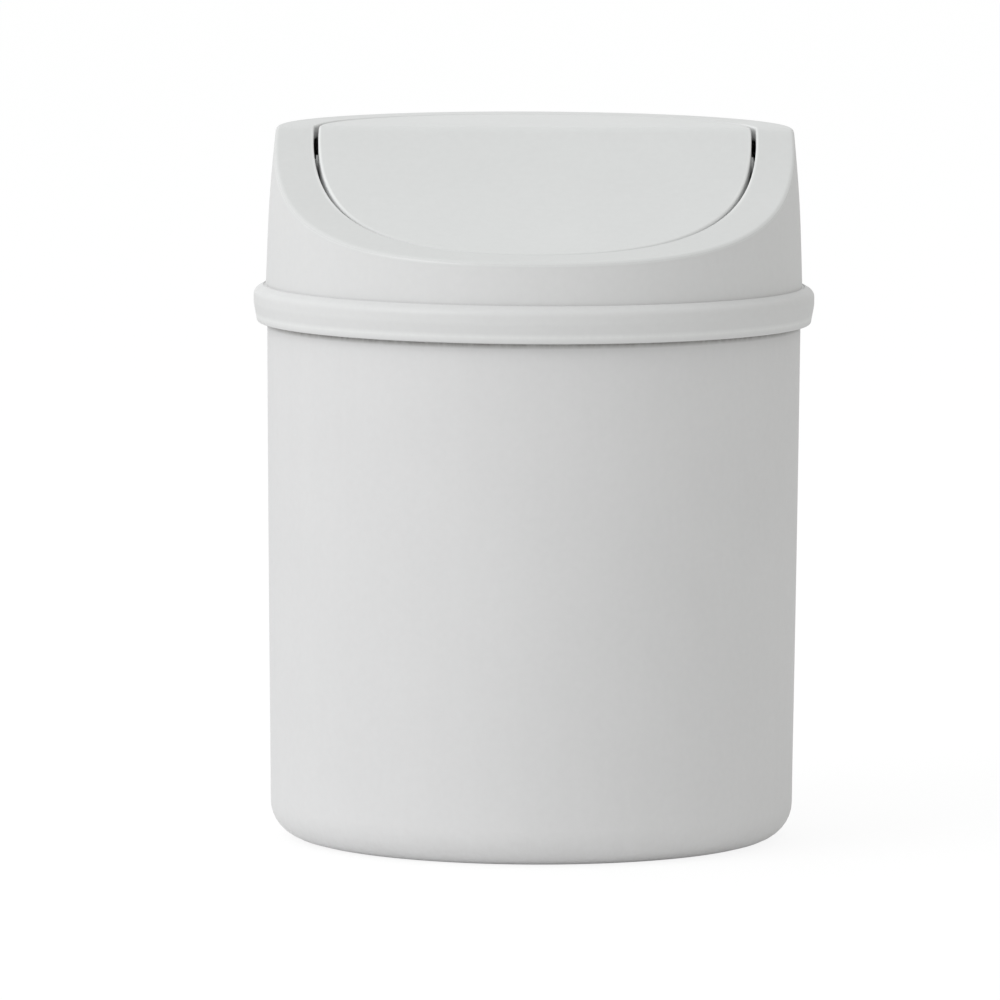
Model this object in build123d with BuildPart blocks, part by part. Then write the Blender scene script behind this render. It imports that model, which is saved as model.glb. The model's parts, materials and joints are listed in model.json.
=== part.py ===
from build123d import *
from math import atan2, cos, degrees, hypot, radians, sin, sqrt, tan
import os

# A small round desktop bin with a push flap in its lift-off lid.
# Millimetres, +Z up, the front faces -Y, the origin is the centre of the foot on the table.

# Bin
rim_height = 127.4       # table to the top of the rim
bin_wall = 1.8
bin_floor = 2.0
rim_step = 1.05          # the rolled rim stands out from the wall by this much
rim_roll = 4.0           # height of the rolled rim
bin_taper = 1.2          # the wall draws in by this much from the rim down to the foot
wall_bow = 0.1           # and bows outwards a little on the way
foot_round = 8.2         # rounding of the bottom edge
foot_turn = 60.0         # degrees that it turns through, before a bevel runs on to the table
foot_ring = 6.0          # width of the flat ring that the bin stands on
recess_depth = 1.2       # the base is lifted off the table inside the foot ring
recess_slope = 2.5       # width of the sloping step round the recess
edge_break = 0.5         # bevel on moulded edges that a hand meets

# Band of the lid, and the crease above it
band_radius = 65.0       # the widest place of the whole object
band_wall = 1.8
band_drop = 7.5          # the band hangs this far below the rim
band_tuck = 0.8          # the band's lower edge is drawn in
tuck_height = 4.3
band_bevel = 1.4         # height of the bevel on the band's upper corner
bevel_width = 0.6
band_crown = 0.65        # the band's top climbs this much from that bevel to the crease at its inner edge
crease_rise = 1.55       # the crease lies this much above the rim's level
crease_width = 2.05      # and this far inside the band's face; the wall flares out to it
shoulder_rise = 4.0      # rim's level to the start of that flare
shoulder_width = 2.9     # the lid's wall lies this far inside the band's face
rim_gap = 0.3            # side clearance between band and rim
plug_gap = 0.3           # side clearance between plug ring and mouth
plug_wall = 1.6
plug_depth = 6.4         # the plug ring reaches this far into the mouth
shelf = 1.8              # thickness of the shelf that sits on the rim

# Wall and top of the lid
lid_rise = 37.6          # rim to the flat top
lid_wall = 1.8
lid_skin = 1.8
wall_bend = 17.3         # the wall's gentle bend, above the shoulder
wall_lean = 0.55         # the wall leans in by this much below the bend
crown_lean = 1.6         # and by this much more above it
crown_bevel = 1.0        # bevel of the edge between wall and top
scoop_depth = 26.9       # flat top down to the front edge of the scoop
scoop_radius = 104.0
ridge_round = 5.0        # rounding of the ridge between flat top and scoop

# Opening and its rim
opening_border = 8.75    # the opening is this much smaller in radius than the lid's top
opening_shift = -2.0     # the opening's centre lies this far in front of the bin's axis
lip_wall = 1.6
lip_depth = 3.4          # the opening has a turned-down lip
lip_bevel = 0.35

# Flap
flap_gap = 1.1           # slit round the flap
flap_skin = 1.6
flap_rim = 1.5
front_rim_depth = 3.2
rear_rim_depth = 7.0     # the rear rim is deeper, and its weight closes the flap
flap_bevel = 0.35
rib_count = 3
rib_wall = 1.4
rib_pitch = 21.0
rib_start = 7.0
rib_lift = 0.6           # the ribs stop this far above the rear rim's edge

# Hinge
pivot_y = -3.0
pivot_drop = 9.0         # below the flat top
pin_radius = 1.6
pin_gap = 0.05
pin_proud = 0.3          # the pin's end passes the lug by this much
pin_chamfer = 0.4
ear_radius = 4.0
ear_wall = 2.0
ear_inset = 0.4          # the ear's outer face lies inside the flap's edge
boss_radius = 2.5
boss_gap = 0.6           # end play between the ear's boss and the lip
lug_radius = 4.4
lug_wall = 3.0
lug_setback = 0.4        # the lug's inner face lies behind the opening's edge
snap_width = 2.7         # mouth through which the pin snaps in
snap_flare = 1.8         # lead-in on both sides of that mouth
flare_angle = 45.0

# Rear catch, on which the closed flap rests
catch_angle = 44.0
catch_reach = 3.4
catch_wall = 1.6
catch_gap = 0.3

# Radii and heights that follow
rim_radius = band_radius - band_wall - rim_gap
mouth_radius = rim_radius - rim_step
foot_radius = mouth_radius - bin_taper
# The foot's rounding ends this high, and its bevel meets the table this far in.
rounding_end = foot_round * (1 - sin(radians(foot_turn)))
bevel_reach = foot_round * (1 - cos(radians(foot_turn))) + rounding_end * tan(radians(foot_turn))
ring_edge = foot_radius - bevel_reach
recess_foot = ring_edge - foot_ring
recess_radius = recess_foot - recess_slope
inner_foot_bevel = (foot_round - bin_wall) * (2 - sqrt(2))   # touches an even wall's inner rounding
band_bottom = rim_height - band_drop
shoulder_top = rim_height + shoulder_rise
crease_z = rim_height + crease_rise
lid_radius = band_radius - shoulder_width
crown_radius = lid_radius - wall_lean - crown_lean
opening_radius = crown_radius - opening_border
top = rim_height + lid_rise
plug_outer = mouth_radius - bin_wall - plug_gap
plug_inner = plug_outer - plug_wall
below = band_bottom - band_drop     # a level clear below the lid, for cuts
reach = 2 * band_radius             # a length clear past every side, for cuts
top_facing = 0.8                    # faces whose normal points up by more than this are the top
near_enough = 0.01
flap_radius = opening_radius - flap_gap
pivot_z = top - pivot_drop
ear_face = flap_radius - ear_inset
ear_back = ear_face - ear_wall
boss_end = opening_radius - boss_gap
lug_face = opening_radius + lug_setback
lug_back = lug_face + lug_wall
catch_top = top - rear_rim_depth - catch_gap

# The scoop is an arc from the front edge up to the ridge, where the flat top starts.
# Its centre lies above the middle of the chord between those two points.
half_chord = sqrt(lid_radius**2 + scoop_depth**2) / 2
centre_rise = sqrt(scoop_radius**2 - half_chord**2) / (2 * half_chord)
scoop_y = -lid_radius / 2 - scoop_depth * centre_rise
scoop_z = top - scoop_depth / 2 + lid_radius * centre_rise
# The ridge's rounding touches the flat top from below and the scoop from behind.
ridge_z = top - ridge_round
ridge_y = scoop_y + sqrt((scoop_radius + ridge_round) ** 2 - (ridge_z - scoop_z) ** 2)
ridge_angle = degrees(atan2(scoop_z - ridge_z, scoop_y - ridge_y))


def under_top(depth):
    """Side view of everything that lies deeper than depth under the lid's top surface."""
    with BuildSketch(Plane.YZ) as region:
        with BuildLine():
            flat = Line((reach, top - depth), (ridge_y, top - depth))
            CenterArc((ridge_y, ridge_z), ridge_round - depth, 90, ridge_angle - 90)
            CenterArc((scoop_y, scoop_z), scoop_radius + depth, ridge_angle - 180, 90 - ridge_angle)
            lowest = (scoop_y, scoop_z - scoop_radius - depth)
            Polyline(lowest, (scoop_y, below), (reach, below), flat @ 0)
        make_face()
    return region.sketch


def half_outline(*points):
    """Closed outline of a turned form, given as radius and height."""
    with BuildSketch(Plane.XZ) as outline:
        with BuildLine():
            Polyline(*points, close=True)
        make_face()
    return outline.sketch


def pivot_tab(x, radius):
    """Side view of a tab that hangs from the top and ends round the hinge axis."""
    with BuildSketch(Plane.YZ.offset(x)) as tab:
        with Locations((pivot_y, pivot_z)):
            Circle(radius)
            Rectangle(2 * radius, pivot_drop, align=(Align.CENTER, Align.MIN))
    return tab.sketch


def on_opening(edge):
    """Tell whether an edge runs along the opening in the lid's top."""
    middle = edge @ 0.5
    return abs(hypot(middle.X, middle.Y - opening_shift) - opening_radius) < near_enough


# Bin body: a tapered cup with a lifted base, a rounded foot and a rolled rim.
with BuildPart() as bin_body:
    rolled_bottom = rim_height - rim_roll
    wall_foot = (foot_radius, foot_round)
    wall_head = (mouth_radius, rolled_bottom)
    bow_point = ((foot_radius + mouth_radius) / 2 + wall_bow, (foot_round + rolled_bottom) / 2)
    inner_foot = (foot_radius - bin_wall, bin_floor + inner_foot_bevel)
    inner_head = (mouth_radius - bin_wall, rim_height)
    inner_bow = (bow_point[0] - bin_wall, bow_point[1])
    with BuildSketch(Plane.XZ):
        with BuildLine():
            foot = CenterArc((foot_radius - foot_round, foot_round), foot_round, 0, -foot_turn)
            Bezier(wall_foot, bow_point, wall_head)
            Polyline(wall_head, (rim_radius, rolled_bottom), (rim_radius, rim_height), inner_head)
            Bezier(inner_head, inner_bow, inner_foot)
            Polyline(
                inner_foot,
                (foot_radius - bin_wall - inner_foot_bevel, bin_floor),
                (recess_foot, bin_floor),
                (recess_radius, bin_floor + recess_depth),
                (0, bin_floor + recess_depth),
                (0, recess_depth),
                (recess_radius, recess_depth),
                (recess_foot, 0),
                (ring_edge, 0),
                foot @ 1,
            )
        make_face()
    revolve(axis=Axis.Z)
    chamfer(bin_body.faces().sort_by(Axis.Z)[-1].edges(), edge_break)
bin_body.part.label = "bin_body"

# Air inside the lid, from the mouth of the plug ring up to the underside of the top skin.
with BuildPart() as lid_inside:
    air = half_outline(
        (0, below),
        (plug_inner, below),
        (plug_inner, rim_height + shelf),
        (lid_radius - lid_wall, rim_height + shelf),
        (crown_radius - lid_wall, top),
        (0, top),
    )
    revolve(air, axis=Axis.Z)
    extrude(under_top(lid_skin), amount=reach, both=True, mode=Mode.INTERSECT)

# Channel for the bin's rim, between the band and the plug ring.
with BuildPart() as rim_channel:
    channel = half_outline(
        (0, below),
        (band_radius - band_wall, below),
        (band_radius - band_wall, rim_height),
        (plug_outer, rim_height),
        (plug_outer, rim_height - plug_depth),
        (0, rim_height - plug_depth),
    )
    revolve(channel, axis=Axis.Z)

# Turned-down lip round the opening.
with BuildPart() as opening_lip:
    with BuildSketch(Plane.XY.offset(below)):
        with Locations((0, opening_shift)):
            Circle(opening_radius + lip_wall)
            Circle(opening_radius, mode=Mode.SUBTRACT)
    extrude(amount=top - below)
    extrude(under_top(lid_skin / 2), amount=reach, both=True, mode=Mode.INTERSECT)
    extrude(under_top(lip_depth), amount=reach, both=True, mode=Mode.SUBTRACT)

# Two lugs that hang behind the lip and hold the flap's pins.
with BuildPart() as hinge_lugs:
    extrude(pivot_tab(lug_face, lug_radius), amount=lug_wall)
    extrude(under_top(lid_skin / 2), amount=reach, both=True, mode=Mode.INTERSECT)
    mirror(about=Plane.YZ)

# Bores of the lugs, open at the bottom through a flared snap mouth.
with BuildPart() as lug_bores:
    with BuildSketch(Plane.YZ.offset(boss_end)):
        with Locations((pivot_y, pivot_z)):
            Circle(pin_radius + pin_gap)
            Rectangle(snap_width, 2 * lug_radius, align=(Align.CENTER, Align.MAX))
        with Locations((pivot_y, pivot_z - lug_radius)):
            Trapezoid(snap_width + 2 * snap_flare, snap_flare, flare_angle, align=(Align.CENTER, Align.MIN))
    extrude(amount=lug_back + pin_proud - boss_end)
    mirror(about=Plane.YZ)

# Catch behind the opening: a hook-shaped ledge that runs a short way round the rear.
with BuildPart() as rear_catch:
    half_turn = radians(catch_angle / 2)
    radial = (sin(half_turn), cos(half_turn), 0)
    sideways = (cos(half_turn), -sin(half_turn), 0)
    with BuildSketch(Plane(origin=(0, opening_shift, 0), x_dir=radial, z_dir=sideways)):
        with BuildLine():
            Polyline(
                (opening_radius, top - lid_skin / 2),
                (opening_radius, catch_top),
                (opening_radius - catch_reach, catch_top),
                (opening_radius - catch_reach, catch_top - catch_wall),
                (opening_radius + lip_wall, catch_top - catch_wall),
                (opening_radius + lip_wall, top - lid_skin / 2),
                close=True,
            )
        make_face()
    revolve(axis=Axis((0, opening_shift, 0), (0, 0, 1)), revolution_arc=catch_angle)

# Lid frame: band, crease, wall, the flat and scooped top, and the opening with its fittings.
with BuildPart() as lid_frame:
    outside = half_outline(
        (0, band_bottom),
        (band_radius - band_tuck, band_bottom),
        (band_radius, band_bottom + tuck_height),
        (band_radius, crease_z - band_crown - band_bevel),
        (band_radius - bevel_width, crease_z - band_crown),
        (band_radius - crease_width, crease_z),
        (lid_radius, shoulder_top),
        (lid_radius - wall_lean, shoulder_top + wall_bend),
        (crown_radius, top),
        (0, top),
    )
    revolve(outside, axis=Axis.Z)
    extrude(under_top(0), amount=reach, both=True, mode=Mode.INTERSECT)
    over_band = lid_frame.faces().filter_by_position(Axis.Z, shoulder_top, top)
    top_faces = over_band.filter_by(lambda face: face.normal_at().Z > top_facing)
    chamfer(top_faces.edges().filter_by(GeomType.LINE, reverse=True), crown_bevel)
    add(lid_inside, mode=Mode.SUBTRACT)
    add(rim_channel, mode=Mode.SUBTRACT)
    with BuildSketch(Plane.XY.offset(rim_height)):
        with Locations((0, opening_shift)):
            Circle(opening_radius)
    extrude(amount=reach, mode=Mode.SUBTRACT)
    add(opening_lip)
    top_faces = lid_frame.faces().filter_by(lambda face: face.normal_at().Z > top_facing)
    chamfer(top_faces.edges().filter_by(on_opening), lip_bevel)
    add(hinge_lugs)
    add(rear_catch)
    add(lug_bores, mode=Mode.SUBTRACT)
lid_frame.part.label = "lid_frame"

# Ears under the flap's edge with the bosses and pins that turn in the lugs.
with BuildPart() as flap_pins:
    extrude(pivot_tab(ear_back, ear_radius), amount=ear_wall)
    extrude(under_top(flap_skin / 2), amount=reach, both=True, mode=Mode.INTERSECT)
    with BuildSketch(Plane.YZ.offset(ear_face)):
        with Locations((pivot_y, pivot_z)):
            Circle(boss_radius)
    extrude(amount=boss_end - ear_face)
    with BuildSketch(Plane.YZ.offset(ear_face)):
        with Locations((pivot_y, pivot_z)):
            Circle(pin_radius)
    extrude(amount=lug_back + pin_proud - ear_face)
    chamfer(flap_pins.faces().sort_by(Axis.X)[-1].edges(), pin_chamfer)
    mirror(about=Plane.YZ)

# One rib for the underside of the flap's flat half, with a sloping front end.
with BuildPart() as rib:
    rib_bottom = top - rear_rim_depth + rib_lift
    rib_top = top - flap_skin / 2
    with BuildSketch(Plane.YZ):
        with BuildLine():
            Polyline(
                (rib_start, rib_top),
                (rib_start + rib_top - rib_bottom, rib_bottom),
                (flap_radius, rib_bottom),
                (flap_radius, rib_top),
                close=True,
            )
        make_face()
    extrude(amount=rib_wall / 2, both=True)

# The ribs, side by side, up to the inside of the flap's rim.
with BuildPart() as flap_ribs:
    with GridLocations(rib_pitch, 0, rib_count, 1):
        add(rib)
    with BuildSketch(Plane.XY.offset(below)):
        with Locations((0, opening_shift)):
            Circle(flap_radius - flap_rim / 2)
    extrude(amount=top - below, mode=Mode.INTERSECT)

# What is hollow under the flap's skin and inside its rim.
with BuildPart() as flap_hollow:
    with BuildSketch(Plane.XY.offset(below)):
        with Locations((0, opening_shift)):
            Circle(flap_radius - flap_rim)
    extrude(amount=top - below)
    extrude(under_top(flap_skin), amount=reach, both=True, mode=Mode.INTERSECT)

# What lies below the rim: the rim follows the scoop in front and is level and deeper behind.
with BuildPart() as below_rim:
    extrude(under_top(front_rim_depth), amount=reach, both=True)
    with BuildSketch(Plane.XY.offset(below - reach)):
        Rectangle(2 * reach, 2 * reach)
    extrude(amount=top - rear_rim_depth - below + reach, mode=Mode.INTERSECT)

# Swing flap: a round skin that continues the lid's top, with rim, ribs and pins.
with BuildPart() as swing_flap:
    with BuildSketch(Plane.XY.offset(below)):
        with Locations((0, opening_shift)):
            Circle(flap_radius)
    extrude(amount=top - below)
    extrude(under_top(0), amount=reach, both=True, mode=Mode.INTERSECT)
    outer_faces = swing_flap.faces().filter_by(lambda face: face.normal_at().Z > top_facing)
    chamfer(outer_faces.edges().filter_by(GeomType.LINE, reverse=True), flap_bevel)
    add(flap_hollow, mode=Mode.SUBTRACT)
    add(below_rim, mode=Mode.SUBTRACT)
    add(flap_ribs)
    add(flap_pins)
swing_flap.part.label = "swing_flap"

os.makedirs("parts", exist_ok=True)
for piece in (bin_body, lid_frame, swing_flap):
    print(piece.part.label, "volume", round(piece.part.volume), "centre", piece.part.center(CenterOf.MASS))
    export_step(piece.part, f"parts/{piece.part.label}.step")
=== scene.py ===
import json
import math
import bpy
import numpy as np
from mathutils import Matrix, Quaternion, Vector


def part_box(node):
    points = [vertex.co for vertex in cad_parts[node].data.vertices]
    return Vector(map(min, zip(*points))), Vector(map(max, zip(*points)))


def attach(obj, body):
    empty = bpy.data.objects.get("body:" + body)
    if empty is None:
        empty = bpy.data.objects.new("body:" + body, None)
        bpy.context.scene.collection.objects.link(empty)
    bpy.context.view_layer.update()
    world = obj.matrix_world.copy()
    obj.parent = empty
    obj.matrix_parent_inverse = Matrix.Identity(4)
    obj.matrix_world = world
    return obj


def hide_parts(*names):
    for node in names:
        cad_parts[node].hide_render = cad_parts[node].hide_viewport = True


# Looks of a small round desktop bin: its moulded skins, their plastic, and a plain light studio.
# Metres, +Z up, the front faces -Y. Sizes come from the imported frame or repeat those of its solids.

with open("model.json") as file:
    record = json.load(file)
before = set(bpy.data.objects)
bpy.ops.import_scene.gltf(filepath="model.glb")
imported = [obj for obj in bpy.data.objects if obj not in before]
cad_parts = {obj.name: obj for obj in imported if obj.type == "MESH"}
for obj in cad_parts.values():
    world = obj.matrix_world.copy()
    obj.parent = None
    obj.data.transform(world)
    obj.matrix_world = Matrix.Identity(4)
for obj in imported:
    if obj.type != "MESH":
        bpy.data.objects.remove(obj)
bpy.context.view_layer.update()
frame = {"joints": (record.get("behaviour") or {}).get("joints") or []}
mm = 0.001
centimetre = 10 * mm
turn = 2 * math.pi
quarter = math.pi / 2
binLow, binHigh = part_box("bin_body")
lidLow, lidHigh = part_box("lid_frame")
flapLow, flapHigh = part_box("swing_flap")
hinge = next(joint for joint in frame["joints"] if joint["name"] == "flap_swing")
pivotY, pivotZ = hinge["pos_m"][1], hinge["pos_m"][2]

bandRadius = min(lidHigh.x, -lidLow.x, lidHigh.y, -lidLow.y)
rimRadius = min(binHigh.x, -binLow.x, binHigh.y, -binLow.y)
rimHeight = binHigh.z
top = lidHigh.z
flapRadius = (flapHigh.y - flapLow.y) / 2
flapCentre = (flapHigh.y + flapLow.y) / 2
pinEnd = min(flapHigh.x, -flapLow.x)


# Outlines: arrays of points in a half plane, given as distance from an axis and height.

def arcPoints(start, corner, end, steps):
    # Circular arc that touches both sides of a corner: the first radius swung evenly into the second.
    first, second = corner - start, end - corner
    bend = math.acos(np.clip(first @ second / np.linalg.norm(first) / np.linalg.norm(second), -1, 1))
    middle = (start + end) / 2
    stretch = 1 + (np.linalg.norm(end - middle) / np.linalg.norm(corner - middle)) ** 2
    centre = corner + (middle - corner) * stretch
    share = np.linspace(0, 1, steps + 1)[:, None]
    swing = (start - centre) * np.sin((1 - share) * bend) + (end - centre) * np.sin(share * bend)
    return centre + swing / math.sin(bend)


nearCut = 0.35 * mm             # an extra cut lies this far from each rounding


def roundedLine(corners, spacing=4 * mm, steps=6, closed=False):
    # Straight runs between corners given as radius, height and rounding, where 0 keeps a corner sharp. Runs
    # are cut evenly, with one more cut close to each rounding, which keeps a flat run's shading flat.
    spots = [np.array(corner[:2]) for corner in corners]
    count = len(spots)
    bends = []
    for index, (corner, here) in enumerate(zip(corners, spots)):
        if corner[2] == 0 or (not closed and index in (0, count - 1)):
            bends.append(here[None, :])
            continue
        back, ahead = spots[index - 1] - here, spots[(index + 1) % count] - here
        back, ahead = back / np.linalg.norm(back), ahead / np.linalg.norm(ahead)
        cut = corner[2] / math.tan(math.acos(np.clip(back @ ahead, -1, 1)) / 2)
        bends.append(arcPoints(here + back * cut, here, here + ahead * cut, steps))
    line = []
    for index, bend in enumerate(bends):
        line.append(bend)
        if closed or index < count - 1:
            after = bends[(index + 1) % count]
            start, end = bend[-1], after[0]
            length = np.linalg.norm(end - start)
            margin = min(nearCut, length / 4) / length
            even = np.linspace(0, 1, math.ceil(length / spacing) + 1)[1:-1]
            first = [margin] if len(bend) > 1 else []
            last = [1 - margin] if len(after) > 1 else []
            line.append(start + (end - start) * np.concatenate([first, even, last])[:, None])
    return np.concatenate(line)


def evenly(low, high, count, margin=0.02):
    # Shares of a run, with the first and last close to its ends, stretched from low to high.
    inner = np.linspace(2 * margin, 1 - 2 * margin, count)
    return low + (high - low) * np.concatenate([[margin], inner, [1 - margin]])


# Meshes from grids of points. A grid's rows go round an axis and its columns go along an outline.

def fan(cap):
    # Triangles from the first corner of a many-sided face to its other corners.
    return np.stack([np.full(len(cap) - 2, cap[0]), cap[1:-1], cap[2:]], axis=1)


def tripleSum(points, block):
    # Six times the volume between the origin and a block of faces: the sum of its triple products.
    first = points[block[:, 0]]
    sides = range(1, block.shape[1] - 1)
    return sum(float((first * np.cross(points[block[:, k]], points[block[:, k + 1]])).sum()) for k in sides)


def makeObject(name, points, blocks, caps=()):
    # blocks are arrays of corner numbers and caps single many-sided faces. All are turned over if they look
    # inwards, which shows as a volume below zero.
    volume = sum(tripleSum(points, block) for block in [*blocks, *map(fan, caps)]) / 6
    step = 1 if volume > 0 else -1
    faces = [cap[::step].tolist() for cap in caps]
    for block in blocks:
        faces += block[:, ::step].tolist()
    mesh = bpy.data.meshes.new(name)
    mesh.from_pydata(points.tolist(), [], faces)
    mesh.polygons.foreach_set("use_smooth", np.ones(len(faces), bool))
    mesh.update()
    made = bpy.data.objects.new(name, mesh)
    bpy.context.scene.collection.objects.link(made)
    content = round(abs(volume) / centimetre ** 3, 2)
    print("made", name, "with", len(faces), "faces and", content, "cubic centimetres")
    return made


def gridFaces(rows, columns, closedRows, closedColumns):
    # Corner numbers of the four-sided faces between neighbouring rows and columns.
    row = np.arange(rows if closedRows else rows - 1)
    column = np.arange(columns if closedColumns else columns - 1)
    a, b = np.meshgrid(row, column, indexing="ij")
    nextA, nextB = (a + 1) % rows, (b + 1) % columns
    corners = [a * columns + b, nextA * columns + b, nextA * columns + nextB, a * columns + nextB]
    return np.stack([corner.ravel() for corner in corners], axis=1)


def ringSkin(name, grid):
    # Closed both ways: round the axis, and along an outline that returns to its start.
    rows, columns = grid.shape[:2]
    return makeObject(name, grid.reshape(-1, 3), [gridFaces(rows, columns, True, True)])


def domeSkin(name, grid, startPole, endPole):
    # Closed round the axis, with each end of the outline drawn together on one point.
    rows, columns = grid.shape[:2]
    points = np.concatenate([grid.reshape(-1, 3), [startPole], [endPole]])
    row = np.arange(rows)
    after = (row + 1) % rows
    startFan = np.stack([np.full(rows, rows * columns), after * columns, row * columns], axis=1)
    endFan = np.stack([np.full(rows, rows * columns + 1), row * columns + columns - 1,
                       after * columns + columns - 1], axis=1)
    return makeObject(name, points, [gridFaces(rows, columns, True, False), startFan, endFan])


def barSkin(name, grid):
    # An outline carried along a path: closed round the outline, its rows, and capped at both ends.
    rows, columns = grid.shape[:2]
    low = (np.arange(rows) * columns)[::-1]
    high = np.arange(rows) * columns + columns - 1
    return makeObject(name, grid.reshape(-1, 3), [gridFaces(rows, columns, True, False)], [low, high])


def turned(outline, angles):
    # Turns an outline about the Z axis: x and y are its radius times the cosine and sine of each angle.
    radius, height = outline[:, 0], outline[:, 1]
    return np.stack([np.outer(np.cos(angles), radius), np.outer(np.sin(angles), radius),
                     np.outer(np.ones(len(angles)), height)], axis=2)


def plate(outline, low, high, edge, cuts=5):
    # A plate across X with rounded edges, from a closed outline in y and z. Near both faces the outline draws
    # in along its own normals, by edge times one minus the sine of the angle that the rounding has turned.
    ahead, behind = np.roll(outline, -1, axis=0), np.roll(outline, 1, axis=0)
    along = (ahead - behind) / np.linalg.norm(ahead - behind, axis=1)[:, None]
    side = np.sign((outline[:, 0] * ahead[:, 1] - outline[:, 1] * ahead[:, 0]).sum())
    normal = np.stack([along[:, 1], -along[:, 0]], axis=1) * side
    angle = np.linspace(0, quarter, cuts)
    draw, rise = edge * (1 - np.sin(angle)), edge * (1 - np.cos(angle))
    draws, places = np.concatenate([draw, draw[::-1]]), np.concatenate([low + rise, high - rise[::-1]])
    flat = outline[:, None, :] - normal[:, None, :] * draws[None, :, None]
    return np.stack([np.outer(np.ones(len(outline)), places), flat[..., 0], flat[..., 1]], axis=2)


def mirrored(points):
    # The same points on the other side of the plane x = 0: every x changes its sign.
    return points * np.array([-1, 1, 1])


# The lid's top surface, which lid and flap share.

topShape = {
    "scoopDepth": 26.9 * mm,                  # flat top down to the front edge
    "scoopRadius": 104 * mm,
    "ridgeRound": 5 * mm,
    "frontReach": bandRadius - 2.9 * mm,      # the front edge lies this far in front of the axis
}
halfChord = math.hypot(topShape["frontReach"], topShape["scoopDepth"]) / 2
centreRise = math.sqrt(topShape["scoopRadius"] ** 2 - halfChord ** 2) / (2 * halfChord)
scoopY = -topShape["frontReach"] / 2 - topShape["scoopDepth"] * centreRise
scoopZ = top - topShape["scoopDepth"] / 2 + topShape["frontReach"] * centreRise
ridgeZ = top - topShape["ridgeRound"]
arcsApart = topShape["scoopRadius"] + topShape["ridgeRound"]
ridgeY = scoopY + math.sqrt(arcsApart ** 2 - (ridgeZ - scoopZ) ** 2)


def topHeight(y, depth=0.0):
    # Height of the surface that lies depth under the lid's top: level behind the ridge, a small arc over the
    # ridge, and in front a large arc whose centre is above the scoop.
    small, large = topShape["ridgeRound"] - depth, topShape["scoopRadius"] + depth
    meet = scoopY + (ridgeY - scoopY) * large / (small + large)
    onRidge = ridgeZ + np.sqrt(np.maximum(small ** 2 - (y - ridgeY) ** 2, 0))
    onScoop = scoopZ - np.sqrt(np.maximum(large ** 2 - (y - scoopY) ** 2, 0))
    return np.where(y >= ridgeY, top - depth, np.where(y >= meet, onRidge, onScoop))


# Bin body

binShape = {
    "wall": 1.8 * mm,
    "floor": 2.0 * mm,
    "rimStep": 1.05 * mm,
    "rimRoll": 4.0 * mm,
    "taper": 1.2 * mm,
    "bow": 0.1 * mm,            # the wall stands out from a straight line by this much halfway up
    "footRound": 8.2 * mm,
    "recessDepth": 1.2 * mm,
    "recessFoot": 48.65 * mm,
    "recessSlope": 2.5 * mm,
    "recessSoft": 0.8 * mm,
    "rimSoft": 0.9 * mm,
    "rollInner": 0.4 * mm,      # roundings where the rolled rim leaves the wall
    "rollOuter": 0.5 * mm,
    "gateRadius": 1.6 * mm,     # nub where the plastic was fed in, under the middle of the base
    "gateHeight": 0.3 * mm,
    "gateSoft": 0.15 * mm,
    "gateFoot": 0.12 * mm,
    "poleRadius": 0.3 * mm,     # the last ring before the outline closes on the axis
    "spacing": 12 * mm,
    "bends": 9,
    "rows": 384,
}


def bowedWall(foot, head, bow, count=14):
    # Corners along a wall from foot to head: a straight line, plus four times the bow times the share of the
    # way times what is left of it.
    share = np.linspace(0, 1, count)[1:-1]
    radius = foot[0] + (head[0] - foot[0]) * share + 4 * bow * share * (1 - share)
    height = foot[1] + (head[1] - foot[1]) * share
    return [(r, z, 0) for r, z in zip(radius, height)]


def makeBin(shape):
    # From the middle of the base outwards, up the wall, over the rim, and down inside to the middle again.
    mouth = rimRadius - shape["rimStep"]
    foot = mouth - shape["taper"]
    wall, floor, lift = shape["wall"], shape["floor"], shape["recessDepth"]
    rolled = rimHeight - shape["rimRoll"]
    recess = shape["recessFoot"] - shape["recessSlope"]
    outerWall = bowedWall((foot, shape["footRound"]), (mouth, rolled), shape["bow"])
    innerWall = bowedWall((foot - wall, shape["footRound"]), (mouth - wall, rimHeight), shape["bow"])
    nub, nubLow = shape["gateRadius"], lift - shape["gateHeight"]
    corners = [
        (shape["poleRadius"], nubLow, 0),
        (nub, nubLow, shape["gateSoft"]),
        (nub, lift, shape["gateFoot"]),
        (recess, lift, shape["recessSoft"]),
        (shape["recessFoot"], 0, shape["recessSoft"]),
        (foot, 0, shape["footRound"]),
        *outerWall,
        (mouth, rolled, shape["rollInner"]),
        (rimRadius, rolled, shape["rollOuter"]),
        (rimRadius, rimHeight, shape["rimSoft"]),
        (mouth - wall, rimHeight, shape["rimSoft"]),
        *innerWall[::-1],
        (foot - wall, floor, shape["footRound"] - wall),
        (shape["recessFoot"], floor, shape["recessSoft"]),
        (recess, floor + lift, shape["recessSoft"]),
        (shape["poleRadius"], floor + lift, 0),
    ]
    outline = roundedLine(corners, spacing=shape["spacing"], steps=shape["bends"])
    grid = turned(outline, np.arange(shape["rows"]) * turn / shape["rows"])
    made = domeSkin("binShell", grid, (0, 0, nubLow), (0, 0, floor + lift))
    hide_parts("bin_body")
    return made


# Lid

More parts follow.
